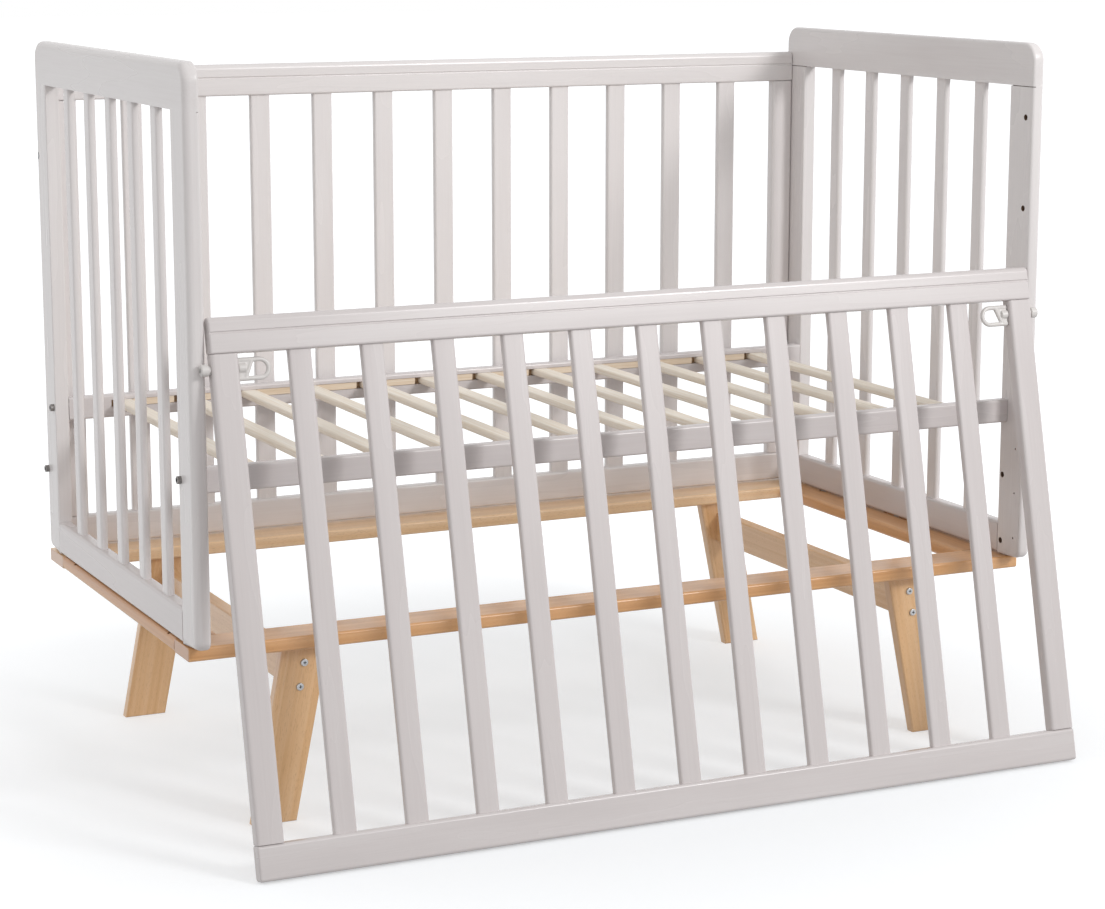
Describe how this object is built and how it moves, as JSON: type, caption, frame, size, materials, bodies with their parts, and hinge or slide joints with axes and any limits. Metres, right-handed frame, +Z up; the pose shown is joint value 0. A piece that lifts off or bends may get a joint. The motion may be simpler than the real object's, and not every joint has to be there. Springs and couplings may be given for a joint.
{
  "type": "pendulum crib",
  "caption": "Slatted painted crib on a low beech stand with splayed legs; it rolls front to back, and its latched front side is unhooked and leans on the front posts.",
  "frame": {"origin": "on the floor, at the middle of the floor space from the foot of the leaning front side to the back panel, midway between the end panels", "axes": "+X along the length towards the right end seen from the front, +Y from front to back, +Z up"},
  "size_m": [1.251, 0.8334, 0.9815],
  "materials": {
    "painted_wood": "satin pale grey paint on solid wood",
    "beech": "clear satin lacquer on beech",
    "birch": "bare sanded birch",
    "white_plastic": "moulded white plastic",
    "zinc_steel": "bright zinc plate"
  },
  "bodies": {
    "stand": {"stand_front_board": "beech", "stand_back_board": "beech", "stand_left_board": "beech", "stand_right_board": "beech", "left_cross_beam": "beech", "right_cross_beam": "beech", "front_left_leg": "beech", "front_left_leg_screw_upper": "zinc_steel", "front_left_leg_screw_lower": "zinc_steel", "front_right_leg": "beech", "front_right_leg_screw_upper": "zinc_steel", "front_right_leg_screw_lower": "zinc_steel", "back_left_leg": "beech", "back_left_leg_screw_upper": "zinc_steel", "back_left_leg_screw_lower": "zinc_steel", "back_right_leg": "beech", "back_right_leg_screw_upper": "zinc_steel", "back_right_leg_screw_lower": "zinc_steel"},
    "crib": {"left_end_top_rail": "painted_wood", "left_front_post": "painted_wood", "left_back_post": "painted_wood", "left_end_grille": "painted_wood", "left_stop_peg": "zinc_steel", "right_end_top_rail": "painted_wood", "right_front_post": "painted_wood", "right_back_post": "painted_wood", "right_end_grille": "painted_wood", "right_stop_peg": "zinc_steel", "back_top_rail": "painted_wood", "back_grille": "painted_wood", "back_left_stile": "painted_wood", "back_right_stile": "painted_wood", "base_front_rail": "painted_wood", "base_back_rail": "painted_wood", "base_slat_01": "birch", "base_slat_02": "birch", "base_slat_03": "birch", "base_slat_04": "birch", "base_slat_05": "birch", "base_slat_06": "birch", "base_slat_07": "birch", "base_slat_08": "birch", "base_slat_09": "birch", "base_slat_10": "birch", "base_slat_11": "birch", "base_slat_12": "birch"},
    "front_bearers": {"left_catch_sleeve": "white_plastic", "right_catch_sleeve": "white_plastic"},
    "front_side": {"front_top_rail": "painted_wood", "front_grille": "painted_wood", "front_left_stile": "painted_wood", "front_right_stile": "painted_wood"},
    "left_latch": {"left_latch_pin": "zinc_steel", "left_pull_ring": "white_plastic"},
    "right_latch": {"right_latch_pin": "zinc_steel", "right_pull_ring": "white_plastic"},
    "front_left_roller": {"front_left_roller": "zinc_steel"},
    "front_right_roller": {"front_right_roller": "zinc_steel"},
    "back_left_roller": {"back_left_roller": "zinc_steel"},
    "back_right_roller": {"back_right_roller": "zinc_steel"}
  },
  "joints": [
    {"name": "swing", "type": "slide", "parent": "stand", "child": "crib", "axis": [0, 1, 0], "range_m": [-0.03, 0.03], "stiffness_N_per_m": 900},
    {"name": "front_side_lift", "type": "slide", "parent": "crib", "child": "front_bearers", "axis": [0, 0, 1], "range_m": [0, 0.2695]},
    {"name": "front_side_tilt", "type": "hinge", "parent": "front_bearers", "child": "front_side", "pos_m": [0, -0.26607, 0.60953], "axis": [1, 0, 0], "range_deg": [0, 13.1]},
    {"name": "left_latch_pull", "type": "slide", "parent": "front_side", "child": "left_latch", "axis": [1, 0, 0], "range_m": [0, 0.012], "stiffness_N_per_m": 400},
    {"name": "right_latch_pull", "type": "slide", "parent": "front_side", "child": "right_latch", "axis": [-1, 0, 0], "range_m": [0, 0.012], "stiffness_N_per_m": 400},
    {"name": "front_left_roll", "type": "hinge", "parent": "stand", "child": "front_left_roller", "pos_m": [-0.609, -0.13577, 0.2457], "axis": [1, 0, 0], "range_deg": [-191.5, 191.5]},
    {"name": "front_right_roll", "type": "hinge", "parent": "stand", "child": "front_right_roller", "pos_m": [0.609, -0.13577, 0.2457], "axis": [1, 0, 0], "range_deg": [-191.5, 191.5]},
    {"name": "back_left_roll", "type": "hinge", "parent": "stand", "child": "back_left_roller", "pos_m": [-0.609, 0.29423, 0.2457], "axis": [1, 0, 0], "range_deg": [-191.5, 191.5]},
    {"name": "back_right_roll", "type": "hinge", "parent": "stand", "child": "back_right_roller", "pos_m": [0.609, 0.29423, 0.2457], "axis": [1, 0, 0], "range_deg": [-191.5, 191.5]}
  ],
  "couplings": [
    {"joint": "front_side_tilt", "follows": "front_side_lift", "rad_per_m": 0.848},
    {"joint": "front_left_roll", "follows": "swing", "rad_per_m": -111.1},
    {"joint": "front_right_roll", "follows": "swing", "rad_per_m": -111.1},
    {"joint": "back_left_roll", "follows": "swing", "rad_per_m": -111.1},
    {"joint": "back_right_roll", "follows": "swing", "rad_per_m": -111.1}
  ]
}
